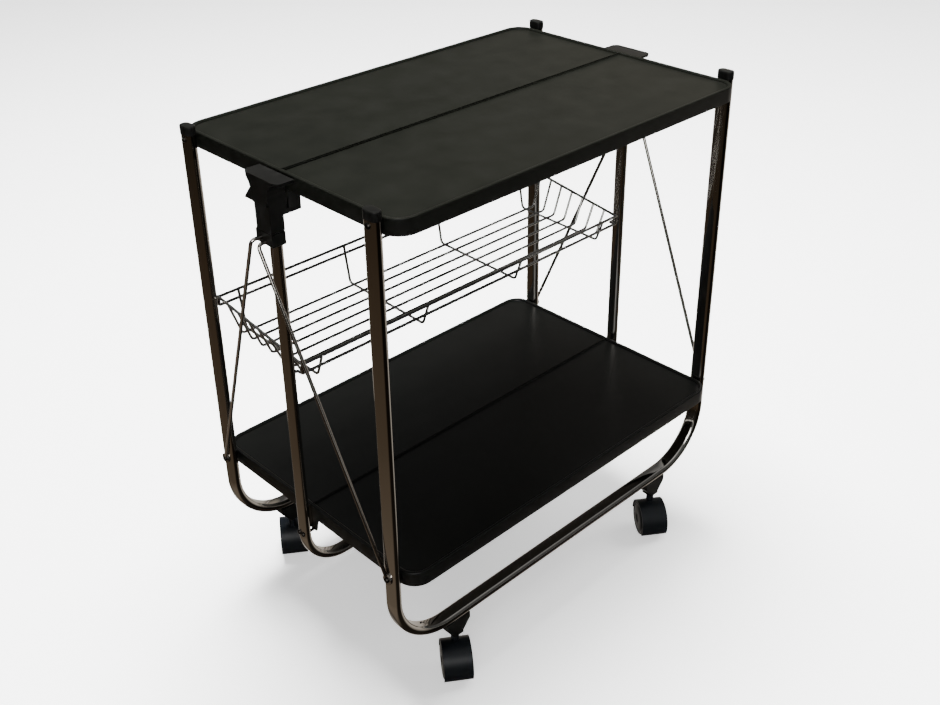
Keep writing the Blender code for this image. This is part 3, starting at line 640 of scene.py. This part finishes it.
def addPanel(name, place, aim, size, power, mirrored):
    lamp = bpy.data.lights.new(name, "AREA")
    lamp.shape = "RECTANGLE"
    lamp.size, lamp.size_y = size
    lamp.energy = power
    panel = bpy.data.objects.new(name, lamp)
    panel.location = place
    panel.rotation_euler = (Vector(aim) - Vector(place)).to_track_quat("-Z", "Y").to_euler()
    panel.visible_glossy = mirrored
    bpy.context.scene.collection.objects.link(panel)


for name, values in panels.items():
    addPanel(name, **values)

# the room as the chrome mirrors it, from the brown floor at 0 to the ceiling at 1
roomRamp = {0.0: (0.20, 0.165, 0.13), 0.13: (0.20, 0.160, 0.120), 0.20: (0.095, 0.070, 0.047),
            0.27: (0.055, 0.038, 0.024), 0.34: (0.020, 0.016, 0.011), 0.49: (0.03, 0.027, 0.024),
            0.51: (0.06, 0.055, 0.05), 0.53: (0.9, 0.88, 0.84), 0.55: (0.072, 0.075, 0.072),
            0.80: (0.11, 0.11, 0.11), 0.93: (0.45, 0.45, 0.45), 1.0: (1.0, 1.0, 1.0)}
world = bpy.data.worlds.new("studioRoom")
bpy.context.scene.world = world
world.use_nodes = True
room = world.node_tree
background = room.nodes["Background"]
direction = room.nodes.new("ShaderNodeTexCoord")
split = room.nodes.new("ShaderNodeSeparateXYZ")
height = addNode(room, "ShaderNodeMapRange", **{"From Min": -1.0, "From Max": 1.0})
ramp = room.nodes.new("ShaderNodeValToRGB")
for position, value in roomRamp.items():
    if position in (0.0, 1.0):
        stop = ramp.color_ramp.elements[0 if position == 0.0 else -1]
        stop.position = position
    else:
        stop = ramp.color_ramp.elements.new(position)
    stop.color = (*value, 1)

# the pale sweep behind the trolley, mirrored only from below the horizon
across = addNode(room, "ShaderNodeVectorMath", operation="DOT_PRODUCT")
across.inputs[1].default_value = (0.866, 0.50, -0.10)
sweep = addNode(room, "ShaderNodeMapRange", **{"From Min": 0.26, "From Max": 0.62})
under = addNode(room, "ShaderNodeMapRange", **{"From Min": 0.10, "From Max": -0.12})
patchy = addNode(room, "ShaderNodeMath", operation="MULTIPLY")
mixed = addNode(room, "ShaderNodeMix", data_type="RGBA")
mixed.inputs[7].default_value = (0.62, 0.57, 0.51, 1)
link(room, direction.outputs["Generated"], split.inputs["Vector"])
link(room, direction.outputs["Generated"], across.inputs[0])
link(room, split.outputs["Z"], height.inputs["Value"])
link(room, split.outputs["Z"], under.inputs["Value"])
link(room, across.outputs["Value"], sweep.inputs["Value"])
link(room, sweep.outputs["Result"], patchy.inputs[0])
link(room, under.outputs["Result"], patchy.inputs[1])
link(room, height.outputs["Result"], ramp.inputs["Fac"])

# the brown floor is bright on one side of the room only
brownSide = addNode(room, "ShaderNodeVectorMath", operation="DOT_PRODUCT")
brownSide.inputs[1].default_value = (-0.98, 0.17, 0.0)
brownRange = addNode(room, "ShaderNodeMapRange", **{"From Min": 0.12, "From Max": 0.42, "To Min": 0.10})
belowOnly = addNode(room, "ShaderNodeMapRange", **{"From Min": 0.0, "From Max": 0.12})
brownMix = addNode(room, "ShaderNodeMix", data_type="FLOAT")
brownMix.inputs[3].default_value = 1.0
shaded = addNode(room, "ShaderNodeVectorMath", operation="SCALE")
link(room, direction.outputs["Generated"], brownSide.inputs[0])
link(room, brownSide.outputs["Value"], brownRange.inputs["Value"])
link(room, split.outputs["Z"], belowOnly.inputs["Value"])
link(room, belowOnly.outputs["Result"], brownMix.inputs[0])
link(room, brownRange.outputs["Result"], brownMix.inputs[2])
link(room, ramp.outputs["Color"], shaded.inputs[0])
link(room, brownMix.outputs[0], shaded.inputs["Scale"])
link(room, shaded.outputs["Vector"], mixed.inputs[6])
link(room, patchy.outputs["Value"], mixed.inputs[0])

# warm lamp glow low behind the right end
glowAim = addNode(room, "ShaderNodeVectorMath", operation="DOT_PRODUCT")
glowAim.inputs[1].default_value = (0.80, 0.52, 0.29)
glowRange = addNode(room, "ShaderNodeMapRange", **{"From Min": 0.955, "From Max": 1.0, "To Max": 0.55})
glow = addNode(room, "ShaderNodeMix", data_type="RGBA", blend_type="ADD")
glow.inputs[7].default_value = (0.60, 0.52, 0.42, 1)
link(room, direction.outputs["Generated"], glowAim.inputs[0])
link(room, glowAim.outputs["Value"], glowRange.inputs["Value"])
link(room, glowRange.outputs["Result"], glow.inputs[0])
link(room, mixed.outputs[2], glow.inputs[6])

# the camera itself sees a plain pale backdrop
seen = room.nodes.new("ShaderNodeLightPath")
plain = addNode(room, "ShaderNodeMix", data_type="RGBA")
plain.inputs[7].default_value = studio["backdrop"]
link(room, glow.outputs[2], plain.inputs[6])
link(room, seen.outputs["Is Camera Ray"], plain.inputs[0])
link(room, plain.outputs[2], background.inputs["Color"])
background.inputs["Strength"].default_value = 1.0
print("lights made")

view = {"place": (-1.0338, -1.0726, 1.2700), "azimuth": -43.569, "elevation": 28.442, "roll": -0.904,
        "lens": 45.29, "sensor": 36, "shift": (0.0043, -0.0714), "farClip": 100}
az, el, roll = (math.radians(view[key]) for key in ("azimuth", "elevation", "roll"))
back = Vector((math.sin(az) * math.cos(el), -math.cos(az) * math.cos(el), math.sin(el)))
right = alongZ.cross(back).normalized()
up = back.cross(right)
sideways = right * math.cos(roll) + up * math.sin(roll)
upward = up * math.cos(roll) - right * math.sin(roll)
lensData = bpy.data.cameras.new("camera")
lensData.sensor_width, lensData.lens = view["sensor"], view["lens"]
lensData.shift_x, lensData.shift_y = view["shift"]
lensData.clip_end = view["farClip"]
camera = bpy.data.objects.new("camera", lensData)
pose = Matrix((sideways, upward, back)).transposed().to_4x4()
pose.translation = view["place"]
camera.matrix_world = pose
bpy.context.scene.collection.objects.link(camera)
bpy.context.scene.camera = camera
print("camera made")
